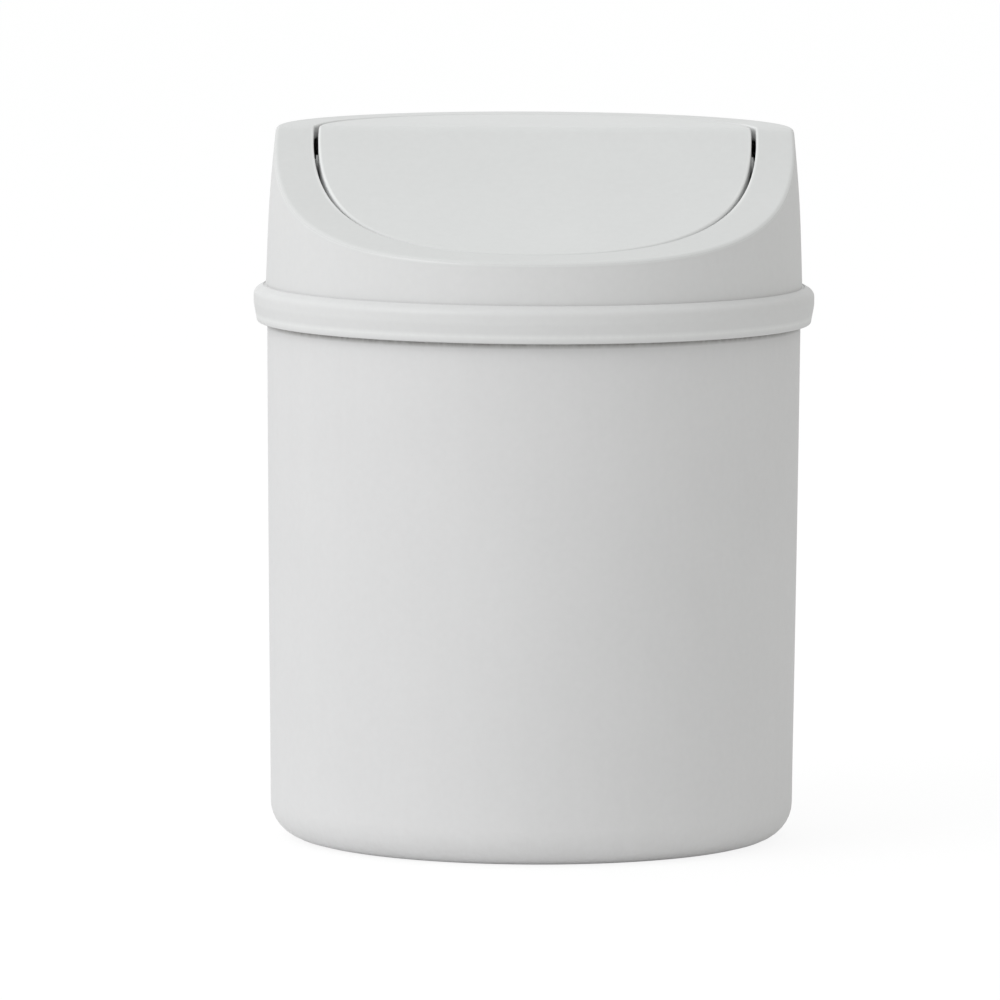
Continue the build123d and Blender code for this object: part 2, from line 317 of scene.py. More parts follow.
lidShape = {
    "bandWall": 1.8 * mm,
    "bandDrop": 7.5 * mm,
    "bandTuck": 0.8 * mm,
    "tuckHeight": 4.3 * mm,
    "bandRound": 2.0 * mm,
    "bandCorner": -0.15 * mm,   # from the rim up to the meeting of the band's face and its sloping top
    "creaseRise": 1.1 * mm,     # the groove over the band starts this far above the rim
    "creaseWidth": 2.2 * mm,    # and this far inside the band's face
    "creaseSoft": 0.12 * mm,
    "grooveDepth": 0.28 * mm,
    "grooveLean": 0.15 * mm,
    "grooveSoft": 0.08 * mm,
    "bellyRound": 6 * mm,       # where the band's face starts to tuck in
    "tuckRound": 0.5 * mm,
    "channelRound": 0.25 * mm,  # inner corners over the bin's rim
    "channelFoot": 0.4 * mm,
    "plugRound": 0.5 * mm,
    "shelfRound": 0.6 * mm,
    "innerStart": 1.6 * mm,     # the outline starts this far above the shelf
    "outerEnd": 3 * mm,         # and ends this far above the shoulder
    "shoulderRise": 4.0 * mm,
    "shoulderWidth": 2.9 * mm,
    "plugWall": 1.6 * mm,
    "plugDepth": 6.4 * mm,
    "plugOuter": rimRadius - 3.15 * mm,
    "shelf": 1.8 * mm,
    "wall": 1.8 * mm,
    "skin": 1.8 * mm,
    "bendHeight": 17.3 * mm,    # above the shoulder, where the wall starts to lean in more
    "lowLean": 0.032,           # inwards for each length upwards, below that bend
    "highLean": 0.098,          # and above it
    "bendSoft": 4 * mm,
    "crownRound": 1.05 * mm,
    "openingGap": 1.1 * mm,
    "frontClose": 0.75 * mm,    # the gap round the flap is narrower by this much in front
    "closeTurn": 0.85,          # and has closed where the sine of the angle past the sides reaches this
    "lipWall": 1.6 * mm,
    "lipDepth": 3.4 * mm,
    "lipSoft": 0.45 * mm,
    "rows": 432,
    # Points along each part of the section
    "cuts": {"wall": 14, "crown": 9, "top": 12, "edge": 6, "lip": 3, "foot": 5, "ceiling": 8, "inside": 10},
}
shoulderTop = rimHeight + lidShape["shoulderRise"]
openingRadius = flapRadius + lidShape["openingGap"]


def lidWallRadius(z, shape):
    # Radius of the lid's outer wall: it leans in steadily, and more above a bend, which is softened by the
    # logarithm of one plus an exponential.
    above = z - shoulderTop
    soft = shape["bendSoft"]
    beyond = soft * np.log1p(np.exp((above - shape["bendHeight"]) / soft))
    lean = shape["lowLean"] * above + (shape["highLean"] - shape["lowLean"]) * beyond
    return bandRadius - shape["shoulderWidth"] - lean


def lidLowerOutline(shape):
    # From the inner wall down round the plug ring, through the rim's channel, and round the band up to the
    # outer wall.
    wallRadius = lidWallRadius(shoulderTop, shape)
    bottom, plugBottom = rimHeight - shape["bandDrop"], rimHeight - shape["plugDepth"]
    plugOuter, plugInner = shape["plugOuter"], shape["plugOuter"] - shape["plugWall"]
    shelfTop = rimHeight + shape["shelf"]
    channel = bandRadius - shape["bandWall"]
    start, end = shelfTop + shape["innerStart"], shoulderTop + shape["outerEnd"]
    creaseRadius = bandRadius - shape["creaseWidth"]
    plugRound, channelRound, creaseSoft = shape["plugRound"], shape["channelRound"], shape["creaseSoft"]
    crease = rimHeight + shape["creaseRise"]
    groove = crease - shape["grooveDepth"]
    corners = [
        (lidWallRadius(start, shape) - shape["wall"], start, 0),
        (wallRadius - shape["wall"], shelfTop, shape["shelfRound"]),
        (plugInner, shelfTop, plugRound),
        (plugInner, plugBottom, plugRound),
        (plugOuter, plugBottom, plugRound),
        (plugOuter, rimHeight, channelRound),
        (channel, rimHeight, channelRound),
        (channel, bottom, shape["channelFoot"]),
        (bandRadius - shape["bandTuck"], bottom, shape["tuckRound"]),
        (bandRadius, bottom + shape["tuckHeight"], shape["bellyRound"]),
        (bandRadius, rimHeight + shape["bandCorner"], shape["bandRound"]),
        (creaseRadius, crease, creaseSoft),
        (creaseRadius - shape["grooveLean"], groove, shape["grooveSoft"]),
        (lidWallRadius(groove, shape), groove, creaseSoft),
        (lidWallRadius(end, shape), end, 0),
    ]
    return roundedLine(corners, spacing=3 * mm, steps=6)


def makeLid(shape):
    # Columns of points, one after another round the lid's section: the lower outline, the outer wall, the
    # crown, the top, the opening's edge, its lip, and back under the skin to the start.
    rows, cuts = shape["rows"], shape["cuts"]
    angle = (np.arange(rows) * turn / rows)[:, None]
    cosine, sine = np.cos(angle), np.sin(angle)
    lower = lidLowerOutline(shape)
    crown, soft, skin = shape["crownRound"], shape["lipSoft"], shape["skin"]

    # The wall's upper end: a few rounds find where the height under the crown and the wall's radius agree.
    radius = np.full_like(angle, bandRadius - shape["shoulderWidth"])
    for _ in range(4):
        wallTop = topHeight(radius * sine) - crown
        radius = lidWallRadius(wallTop, shape)
    step = 0.1 * mm
    lean = np.arctan((lidWallRadius(wallTop - step, shape) - radius) / step)
    wallTop = wallTop + crown * np.sin(lean)
    radius = lidWallRadius(wallTop, shape)

    def around(distance, height, centre=0.0):
        # Points at a distance from a centre on the Y axis, each height given or worked out from its y.
        distance = np.broadcast_to(distance, (rows, np.shape(distance)[1]))
        x, y = distance * cosine, centre + distance * sine
        z = height(y) if callable(height) else np.broadcast_to(height, distance.shape)
        return np.stack([x, y, z], axis=2)

    def between(inner, outer, depth, shares):
        # Points on straight lines from one grid column to another, laid on the surface depth under the top.
        flat = inner[:, None, :2] + (outer - inner)[:, None, :2] * shares[None, :, None]
        return np.concatenate([flat, topHeight(flat[..., 1:], depth)], axis=2)

    bottomPart = around(lower[None, :, 0], lower[None, :, 1])
    rise = evenly(0, 1, cuts["wall"])[None, :]
    outerHeight = lower[-1, 1] + (wallTop - lower[-1, 1]) * rise
    outerPart = around(lidWallRadius(outerHeight, shape), outerHeight)
    bend = lean + (quarter - lean) * np.linspace(0, 1, cuts["crown"])[None, :]
    crownPart = around(radius - crown * (np.cos(lean) - np.cos(bend)),
                       lambda y: topHeight(y) - crown * (1 - np.sin(bend)))

    # The gap round the flap narrows in front: three times the square of the share less twice its cube.
    closed = np.clip(-sine / shape["closeTurn"], 0, 1)
    opening = openingRadius - shape["frontClose"] * closed ** 2 * (3 - 2 * closed)
    edge = np.linspace(0, quarter, cuts["edge"])[None, :]
    edgePart = around(opening + soft * (1 - np.sin(edge)),
                      lambda y: topHeight(y) - soft * (1 - np.cos(edge)), flapCentre)
    topPart = between(crownPart[:, -1], edgePart[:, 0], 0, evenly(0, 1, cuts["top"]))
    foot = np.linspace(quarter, 0, cuts["foot"])[None, :]
    innerFoot = around(opening + soft * (1 - np.sin(foot)),
                       lambda y: topHeight(y, shape["lipDepth"]) + soft * (1 - np.cos(foot)), flapCentre)
    outFoot = foot[:, ::-1]
    outerFoot = around(openingRadius + shape["lipWall"] - soft * (1 - np.sin(outFoot)),
                       lambda y: topHeight(y, shape["lipDepth"]) + soft * (1 - np.cos(outFoot)), flapCentre)
    drop = evenly(0, 1, cuts["lip"], margin=0.1)[None, :, None]
    innerFace = edgePart[:, -1:] + (innerFoot[:, :1] - edgePart[:, -1:]) * drop
    root = around(openingRadius + shape["lipWall"] + soft * (1 - np.cos(edge)),
                  lambda y: topHeight(y, skin) - soft * (1 - np.sin(edge)), flapCentre)

    # The inside of the wall, down to where the lower outline starts.
    wallInside = radius - shape["wall"]
    under = around(wallInside - soft * (1 - np.cos(foot)),
                   lambda y: topHeight(y, skin) - soft * (1 - np.sin(foot)))
    ceiling = between(root[:, -1], under[:, 0], skin, evenly(0, 1, cuts["ceiling"]))
    fall = evenly(0, 1, cuts["inside"])[None, :]
    innerHeight = under[:, -1:, 2] + (lower[0, 1] - under[:, -1:, 2]) * fall
    wallThere = lidWallRadius(innerHeight, shape) - shape["wall"]
    innerPart = around(wallInside + (wallThere - wallInside) * fall, innerHeight)
    grid = np.concatenate([bottomPart, outerPart, crownPart, topPart, edgePart, innerFace, innerFoot,
                           outerFoot, root, ceiling, under, innerPart], axis=1)
    made = ringSkin("lidShell", grid)
    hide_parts("lid_frame")
    return made


lugShape = {
    "radius": 4.4 * mm,
    "wall": 3.0 * mm,
    "setback": 0.4 * mm,
    "boreRadius": 1.65 * mm,
    "mouth": 2.7 * mm,          # width of the slot through which the pin snaps in
    "flare": 1.8 * mm,
    "root": 0.9 * mm,           # the lug ends this deep in the lid's skin
    "edge": 0.3 * mm,
    "cuts": {"side": 14, "head": 16, "bore": 26},
}


def makeLugs(shape):
    # Outline in y and z round the hinge axis: half a circle below, straight sides up into the skin, and a
    # bore that is open below through a slot with a flared mouth. The flare ends where a line at 45 degrees
    # meets the half circle.
    half, cuts = shape["mouth"] / 2, shape["cuts"]
    slotTurn = math.asin(half / shape["boreRadius"])
    slotLow = shape["radius"] - shape["flare"]
    flareSpan = -half - slotLow
    flareRest = half ** 2 + slotLow ** 2 - shape["radius"] ** 2
    flareOut = (flareSpan + math.sqrt(flareSpan ** 2 - 2 * flareRest)) / 2
    mouthY, mouthZ = half + flareOut, -slotLow - flareOut
    start = math.atan2(mouthZ, mouthY)
    right = np.linspace(start, 0, cuts["side"])
    outerRight = np.stack([np.cos(right), np.sin(right)], axis=1) * shape["radius"]
    across = np.linspace(shape["radius"], -shape["radius"], cuts["head"])
    head = np.stack([across, topHeight(pivotY + across, shape["root"]) - pivotZ], axis=1)
    outerLeft = outerRight[::-1] * np.array([-1, 1])
    slotLeft = np.array([[-half, -slotLow]])
    swing = np.linspace(-quarter - slotTurn, -turn - quarter + slotTurn, cuts["bore"])
    bore = np.stack([np.cos(swing), np.sin(swing)], axis=1) * shape["boreRadius"]
    slotRight = slotLeft * np.array([-1, 1])
    outline = np.concatenate([outerRight, head, outerLeft, slotLeft, bore, slotRight])
    limit = topHeight(pivotY + outline[:, 0], shape["root"]) - pivotZ
    outline[:, 1] = np.minimum(outline[:, 1], limit)
    outline += np.array([pivotY, pivotZ])
    low = openingRadius + shape["setback"]
    grid = plate(outline, low, low + shape["wall"], shape["edge"])
    return [barSkin("lidLugRight", grid), barSkin("lidLugLeft", mirrored(grid))]


catchShape = {
    "halfTurn": math.radians(22),
    "reach": 3.4 * mm,
    "wall": 1.6 * mm,
    "under": 7.3 * mm,          # top of the ledge under the flat top
    "root": 0.9 * mm,
    "rootSoft": 0.05 * mm,
    "cornerSoft": 0.2 * mm,
    "edge": 0.3 * mm,
    "columns": 60,
}


def makeCatch(shape):
    # An L-shaped outline carried along an arc about the opening's axis, behind the opening.
    ledge = top - shape["under"]
    outerRadius = openingRadius + lidShape["lipWall"]
    corners = [
        (openingRadius, top - shape["root"], shape["rootSoft"]),
        (openingRadius, ledge, shape["cornerSoft"]),
        (openingRadius - shape["reach"], ledge, shape["edge"]),
        (openingRadius - shape["reach"], ledge - shape["wall"], shape["edge"]),
        (outerRadius, ledge - shape["wall"], shape["edge"]),
        (outerRadius, top - shape["root"], shape["rootSoft"]),
    ]
    outline = roundedLine(corners, spacing=2 * mm, steps=4, closed=True)
    angles = np.linspace(quarter - shape["halfTurn"], quarter + shape["halfTurn"], shape["columns"])
    grid = turned(outline, angles).transpose(1, 0, 2) + np.array([0, flapCentre, 0])
    return [barSkin("lidCatch", grid)]


# Flap

flapShape = {
    "skin": 1.6 * mm,
    "rim": 1.5 * mm,
    "frontDepth": 3.2 * mm,
    "rearDepth": 7.0 * mm,
    "edge": 0.6 * mm,
    "foot": 0.35 * mm,
    "inset": 0.1 * mm,          # flat strip before the edge's rounding
    "spread": 0.9,              # exponent that sets the rings of the top a little closer towards the edge
    "firstRing": 0.02,          # share of the way out
    "rows": 560,
    "cuts": {"over": 40, "edge": 7, "foot": 5, "face": 4, "beneath": 30},
}


def makeFlap(shape):
    # Polar grid about the flap's centre: out over the top, down round the rim and back under the skin.
    angle = (np.arange(shape["rows"]) * turn / shape["rows"])[:, None]
    edge, foot, skin = shape["edge"], shape["foot"], shape["skin"]
    inside = flapRadius - shape["rim"]
    first, cuts = shape["firstRing"], shape["cuts"]

    def column(distance, height):
        # Points at a distance from the flap's centre, whose height is worked out from y.
        x = distance * np.cos(angle)
        y = flapCentre + distance * np.sin(angle)
        return np.stack([x, y, height(y)], axis=2)

    def rimFoot(y):
        # The rim follows the top in front and ends level at the back, whichever is lower.
        return np.minimum(topHeight(y, shape["frontDepth"]), top - shape["rearDepth"])

    quarterOut = np.linspace(0, quarter, cuts["edge"])[None, :]
    quarterIn = np.linspace(quarter, 0, cuts["foot"])[None, :]
    rings = np.linspace(first, 1, cuts["over"])[None, :] ** shape["spread"]
    over = column(rings * (flapRadius - edge - shape["inset"]), lambda y: topHeight(y))
    edgePart = column(flapRadius - edge * (1 - np.sin(quarterOut)),
                      lambda y: topHeight(y) - edge * (1 - np.cos(quarterOut)))
    quarterBack = quarterIn[:, ::-1]
    outerFoot = column(flapRadius - foot * (1 - np.sin(quarterIn)),
                       lambda y: rimFoot(y) + foot * (1 - np.cos(quarterIn)))
    innerFoot = column(inside + foot * (1 - np.sin(quarterBack)),
                       lambda y: rimFoot(y) + foot * (1 - np.cos(quarterBack)))
    corner = column(inside - edge * (1 - np.cos(quarterOut)),
                    lambda y: topHeight(y, skin) - edge * (1 - np.sin(quarterOut)))
    drop = evenly(0, 1, cuts["face"], margin=0.08)[None, :, None]
    outerFace = edgePart[:, -1:] + (outerFoot[:, :1] - edgePart[:, -1:]) * drop
    innerFace = innerFoot[:, -1:] + (corner[:, :1] - innerFoot[:, -1:]) * drop
    rings = np.linspace(1, first, cuts["beneath"])[None, :]
    beneath = column(rings * (inside - edge - shape["inset"]), lambda y: topHeight(y, skin))
    parts = [over, edgePart, outerFace, outerFoot, innerFoot, innerFace, corner, beneath]
    grid = np.concatenate(parts, axis=1)
    made = domeSkin("flapShell", grid, (0, flapCentre, float(topHeight(flapCentre))),
                    (0, flapCentre, float(topHeight(flapCentre, skin))))
    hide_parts("swing_flap")
    return made


earShape = {
    "radius": 4.0 * mm,
    "wall": 2.0 * mm,
    "inset": 0.4 * mm,
    "root": 0.8 * mm,
    "edge": 0.3 * mm,
    "cuts": {"round": 28, "head": 16},
}
pinShape = {
    "radius": 1.6 * mm,
    "bossRadius": 2.5 * mm,
    "bossGap": 0.6 * mm,
    "bossSoft": 0.2 * mm,
    "chamfer": 0.4 * mm,
    "soft": 0.15 * mm,
    "rootSoft": 0.1 * mm,
    "poleRadius": 0.1 * mm,
    "rows": 64,
}
ribShape = {
    "places": [-21 * mm, 0.0, 21 * mm],
    "wall": 1.4 * mm,
    "start": 7.0 * mm,
    "lift": 0.6 * mm,
    "root": 0.8 * mm,
    "rootSoft": 0.1 * mm,
    "frontSoft": 0.8 * mm,
    "edge": 0.25 * mm,
}


def makeEars(shape):
    # Outline in y and z: half a circle about the hinge axis, closed above by a line inside the flap's skin.
    cuts = shape["cuts"]
    swing = np.linspace(-math.pi, 0, cuts["round"])
    lowerHalf = np.stack([np.cos(swing), np.sin(swing)], axis=1) * shape["radius"]
    lowerHalf += np.array([pivotY, pivotZ])
    across = np.linspace(shape["radius"], -shape["radius"], cuts["head"])[1:-1] + pivotY
    head = np.stack([across, topHeight(across, shape["root"])], axis=1)
    outline = np.concatenate([lowerHalf, head])
    outline[:, 1] = np.minimum(outline[:, 1], topHeight(outline[:, 0], shape["root"]))
    face = flapRadius - shape["inset"]
    grid = plate(outline, face - shape["wall"], face, shape["edge"])
    return [barSkin("flapEarRight", grid), barSkin("flapEarLeft", mirrored(grid))]


def makePins(shape):
    # A stepped outline turned about the hinge axis, from inside the ear over its boss to the bevelled end.
    face = flapRadius - earShape["inset"]
    start, shoulder = face - earShape["wall"] / 2, openingRadius - shape["bossGap"]
    pole, soft = shape["poleRadius"], shape["soft"]
    corners = [
        (pole, start, 0),
        (shape["bossRadius"], start, shape["rootSoft"]),
        (shape["bossRadius"], shoulder, shape["bossSoft"]),
        (shape["radius"], shoulder, soft),
        (shape["radius"], pinEnd - shape["chamfer"], soft),
        (shape["radius"] - shape["chamfer"], pinEnd, soft),
        (pole, pinEnd, 0),
    ]
    outline = roundedLine(corners, spacing=1 * mm, steps=4)
    grid = turned(outline, np.arange(shape["rows"]) * turn / shape["rows"])[..., [2, 0, 1]]
    grid = grid + np.array([0, pivotY, pivotZ])
    ends = np.array([[start, pivotY, pivotZ], [pinEnd, pivotY, pivotZ]])
    return [domeSkin("flapPinRight", grid, *ends), domeSkin("flapPinLeft", mirrored(grid), *mirrored(ends))]


def makeRibs(shape):
    # Thin plates under the flat half of the flap, each with a sloping front end, up to the rim.
    lowLine = top - flapShape["rearDepth"] + shape["lift"]
    highLine = top - shape["root"]
    made = []
    for number, place in enumerate(shape["places"]):
        back = flapCentre + math.sqrt((flapRadius - flapShape["rim"] / 2) ** 2 - place ** 2)
        corners = [
            (shape["start"], highLine, shape["rootSoft"]),
            (shape["start"] + highLine - lowLine, lowLine, shape["frontSoft"]),
            (back, lowLine, shape["rootSoft"]),
            (back, highLine, shape["rootSoft"]),
        ]
        outline = roundedLine(corners, spacing=3 * mm, steps=5, closed=True)
        grid = plate(outline, place - shape["wall"] / 2, place + shape["wall"] / 2, shape["edge"])
        made.append(barSkin("flapRib" + str(number + 1), grid))
    return made


# Shader maths: a wrapped socket, so that sums and products are written as expressions.

class Wire:
    def __init__(self, tree, socket):
        # An output socket and the node tree that it belongs to.
        self.tree, self.socket = tree, socket

    def maths(self, operation, other=None, turnedRound=False):
        # A maths node fed by this wire and another wire or number, which comes first if turned round.
        node = self.tree.nodes.new("ShaderNodeMath")
        node.operation = operation
        pair = [self] if other is None else [other, self] if turnedRound else [self, other]
        for place, value in enumerate(pair):
            if isinstance(value, Wire):
                self.tree.links.new(value.socket, node.inputs[place])
            else:
                node.inputs[place].default_value = value
        return Wire(self.tree, node.outputs[0])

    def __add__(self, other):
        return self.maths("ADD", other)

    def __radd__(self, other):
        return self.maths("ADD", other)

    def __sub__(self, other):
        return self.maths("SUBTRACT", other)

    def __rsub__(self, other):
        return self.maths("SUBTRACT", other, True)

    def __mul__(self, other):
        return self.maths("MULTIPLY", other)

    def __rmul__(self, other):
        return self.maths("MULTIPLY", other)

    def __truediv__(self, other):
        return self.maths("DIVIDE", other)

    def clamped(self):
        # Limited to 0 below and 1 above.
        return self.maths("MINIMUM", 1.0).maths("MAXIMUM", 0.0)


class Tree:
    def __init__(self, tree):
        # A node tree, which starts empty.
        self.tree = tree
        tree.nodes.clear()

    def add(self, kind, settings=None, inputs=None, output=0):
        # Any node: its settings first, then the values or links of its sockets, by name or number.
        node = self.tree.nodes.new(kind)
        for key, value in (settings or {}).items():
            setattr(node, key, value)
        for key, value in (inputs or {}).items():
            if isinstance(value, Wire):
                self.tree.links.new(value.socket, node.inputs[key])
            else:
                node.inputs[key].default_value = value
        return Wire(self.tree, node.outputs[output]) if node.outputs else node

    def parts(self, vector):
        # The x, y and z of a vector.
        apart = self.add("ShaderNodeSeparateXYZ", {}, {0: vector})
        return [Wire(self.tree, socket) for socket in apart.socket.node.outputs]

    def mixed(self, share, first, second, blend="MIX"):
        # The first colour with a share of the second mixed in. A colour mix takes its two colours at sockets
        # 6 and 7 and gives a colour at 2.
        return self.add("ShaderNodeMix", {"data_type": "RGBA", "blend_type": blend},
                        {0: share, 6: first, 7: second}, output=2)


objectCoords = 3                # output of a texture coordinate node


# Plastic. Every piece is the same pale grey moulded plastic; body, lid and flap differ a little in finish and
# in painted light and shade.

noises = {                      # scales are in features for each metre
    "mottle": {"scale": 38.0, "detail": 3.0},                                   # soft patches
    "streak": {"scale": 260.0, "detail": 2.0, "stretched": (1.0, 1.0, 0.03)},   # long upright draw marks
    "speckle": {"scale": 620.0, "detail": 3.0},
    "grain": {"scale": 2600.0, "detail": 2.0},                                  # moulded grain
    "scuff": {"scale": 900.0, "detail": 4.0, "stretched": (1.0, 1.0, 0.35)},
    "wave": {"scale": 55.0, "detail": 1.0},                                     # slight unevenness of a skin
}
middle = 0.5                    # value about which a noise varies
plasticLook = {
    "shade": 0.91,              # share of the colour where the plastic is a little duller
    "dullShare": 0.2,           # how dull it is where every noise has its middle value
    "mottleMiddle": 0.42,
    "mottleShare": 0.45,
    "speckleShare": 0.5,
    "roughGrain": 0.10,
    "roughMottle": 0.10,
    "waveStrength": 0.35,
    "waveDepth": 0.12 * mm,
    "grainStrength": 0.5,
    "grainDepth": 0.02 * mm,
    "refraction": 1.49,
}
rubbed = {                      # faint handling marks near the table
    "colour": (0.545, 0.530, 0.505),
    "height": 9 * mm,
    "start": 0.36,              # value of the scuff noise where they begin
    "gain": 1.6,
    "share": 0.5,
    "rough": 0.12,
}
# Level strips on the outer side: painted shade under the band and in the crease over it, and a painted
# highlight along the band's lower edge.
paintedHighlight, paintedShade = (0.93, 0.94, 0.935), (0.28, 0.27, 0.26)
creaseTop = rimHeight + lidShape["creaseRise"]
# Painted shade just under the band, where the gap beneath its edge lies in shadow.
underBand = {"z": lidLow.z - 0.35 * mm, "width": 1.05 * mm, "colour": paintedShade, "share": 0.82}
# Painted highlight along the band's rounded lower edge.
bandEdge = {"z": lidLow.z + 1.5 * mm, "width": 0.9 * mm, "colour": paintedHighlight, "share": 0.32}
# Painted shade in the crease over the band.
overBand = {"z": creaseTop + 0.1 * mm, "width": 0.35 * mm, "colour": paintedShade, "share": 0.07}
outerSide = {"radius": bandRadius - 4 * mm, "soft": 0.5 * mm}
topLook = {
    "skinDepth": 1.6 * mm,      # the top's darker, greener tint ends this far under its surface
    "edgeWidth": 0.75 * mm,     # painted highlights along the slit's edges
    "edgeDepth": 0.7 * mm,
    "sidesMiddle": -6 * mm,     # in y, they run from the ridge to where the gap closes
    "sidesReach": 26 * mm,
    "sidesGain": 2.5,
    "crownDepth": 0.5 * mm,     # middle of the crown's rounding under the top
    "crownWidth": 0.55 * mm,
    "crownAway": 2 * mm,        # it counts in full this far outside the opening
}
finishes = {
    "binPlastic": {
        "colour": (0.704, 0.701, 0.705), "rough": 0.50, "grain": 0.9, "waves": 1.0, "streaks": 0.22,
        "rubbed": 0.6, "strips": [underBand]},
    "lidPlastic": {
        "colour": (0.703, 0.703, 0.704), "rough": 0.46, "grain": 0.7, "waves": 0.8, "streaks": 0.15,
        "rubbed": 0.0, "strips": [bandEdge, overBand], "edgeRadius": openingRadius, "edgeLight": 0.55,
        "topShare": (0.965, 0.972, 0.967), "polish": 0.22},
    "flapPlastic": {
        "colour": (0.700, 0.706, 0.704), "rough": 0.44, "grain": 0.6, "waves": 0.7, "streaks": 0.10,
        "rubbed": 0.0, "strips": [], "edgeRadius": flapRadius, "edgeLight": 0.8},
}


def plastic(name, finish):
    # Base colour with duller patches, rubbed marks, level strips of painted shade and highlight, and painted
    # highlights along the slit's edges; roughness that varies with the same noises; and two bumps, waves
    # under grain.
    material = bpy.data.materials.new(name)
    material.use_nodes = True
    tree = Tree(material.node_tree)
    place = tree.add("ShaderNodeTexCoord", output=objectCoords)

    def noise(scale, detail, stretched=None):
        # A noise in the piece's own coordinates, which may be stretched along an axis.
        vector = place
        if stretched:
            vector = tree.add("ShaderNodeMapping", {"vector_type": "POINT"},
                              {"Vector": place, "Scale": stretched})
        return tree.add("ShaderNodeTexNoise", {}, {"Vector": vector, "Scale": scale, "Detail": detail})

    def near(value, width):
        # 1 where a length is 0, falling evenly to 0 where it reaches the width on either side.
        return (1.0 - value.maths("ABSOLUTE") / width).clamped()

    x, y, z = tree.parts(place)
    mottle, streak, speckle, grain, scuff, wave = (noise(**values) for values in noises.values())
    plain, look = finish["colour"], plasticLook

    patches = (mottle - look["mottleMiddle"]) * look["mottleShare"] + (streak - middle) * finish["streaks"]
    dull = (patches + (speckle - middle) * look["speckleShare"] + look["dullShare"]).clamped()
    colour = tree.mixed(dull, (*plain, 1), (*(part * look["shade"] for part in plain), 1))
    low = (1.0 - z / rubbed["height"]).clamped()
    wear = (low * (scuff - rubbed["start"]) * rubbed["gain"] * finish["rubbed"]).clamped()
    colour = tree.mixed(wear * rubbed["share"], colour, (*rubbed["colour"], 1))
    outside = (((x * x + y * y).maths("SQRT") - outerSide["radius"]) / outerSide["soft"]).clamped()
    # Level strips of painted shade and painted highlight, on the outer side only.
    for strip in finish["strips"]:
        share = near(z - strip["z"], strip["width"]) * (scuff + middle) * outside * strip["share"]
        colour = tree.mixed(share.clamped(), colour, (*strip["colour"], 1))
    if "edgeRadius" in finish:
        # The depth under the lid's top is the height of its scoop or flat part, whichever is lower, less z.
        along, across = y - scoopY, y - flapCentre
        fall = (topShape["scoopRadius"] ** 2 - along * along).maths("MAXIMUM", 0.0).maths("SQRT")
        depth = (scoopZ - fall).maths("MINIMUM", top) - z
        away = (x * x + across * across).maths("SQRT") - finish["edgeRadius"]
        if "topShare" in finish:             # the top's skin is a little darker, as a duller finish, and its green cast is painted cool light from above
            skin = near(depth, topLook["skinDepth"])
            colour = tree.mixed(skin, colour, (*finish["topShare"], 1), "MULTIPLY")
        # Painted highlights along both edges of the slit, strongest on its sides.
        sides = (near(y - topLook["sidesMiddle"], topLook["sidesReach"]) * topLook["sidesGain"]).clamped()
        edge = near(away, topLook["edgeWidth"]) * near(depth, topLook["edgeDepth"])
        colour = tree.mixed(edge * sides * finish["edgeLight"], colour, (*paintedHighlight, 1))

    rough = finish["rough"] + (grain - middle) * look["roughGrain"] + (mottle - middle) * look["roughMottle"]
    rough = rough + wear * rubbed["rough"]
    if "polish" in finish:                   # the crown's rounding is smoother than the flat skins
        crown = near(depth - topLook["crownDepth"], topLook["crownWidth"])
        rough = rough - crown * (away / topLook["crownAway"]).clamped() * finish["polish"]
    waves = tree.add("ShaderNodeBump", {}, {"Strength": look["waveStrength"] * finish["waves"],
                                            "Distance": look["waveDepth"], "Height": wave})
    bump = tree.add("ShaderNodeBump", {}, {"Strength": look["grainStrength"] * finish["grain"],
                                           "Distance": look["grainDepth"], "Height": grain, "Normal": waves})
    shader = tree.add("ShaderNodeBsdfPrincipled", {}, {"Base Color": colour, "Roughness": rough.clamped(),
                                                       "Normal": bump, "IOR": look["refraction"]})
    tree.add("ShaderNodeOutputMaterial", {}, {"Surface": shader})
    return material


# Studio: a floor and backdrop that are white for the camera and light the object as pale surfaces do, a sky,
# and one soft lamp from the left.

studio = {
    "floorSize": 8.0,
    "floorLift": -0.02 * mm,
    "floorPaint": 0.84,          # what the object receives from the floor
    "floorFade": (0.06, 0.13),   # and by how much less from its left and its right
    "fadeReach": 0.4,
    "nearGlow": 0.13,            # light that the floor itself adds close to the object, for the foot
    "nearStart": 45 * mm,
    "nearReach": 60 * mm,
    "floorWhite": 0.86,          # share of plain white that the camera sees in it
    "floorShade": 0.16,          # share that keeps the object's shadow
    "skyLevel": 0.795,
    "skyTowards": (-0.165, 0.12, 0.12),      # the sky's light grows this way
    "skyCorner": 0.36,           # and is weaker behind on the right, by this times x times y
    "skyRight": (1.0, 0.975, 0.92),          # its tint on the right
    "skyAbove": (0.98, 1.0, 0.995),          # and overhead
    "lamp": {"azimuth": -53, "elevation": 34, "distance": 1.9, "size": 1.1, "power": 9.4},
}


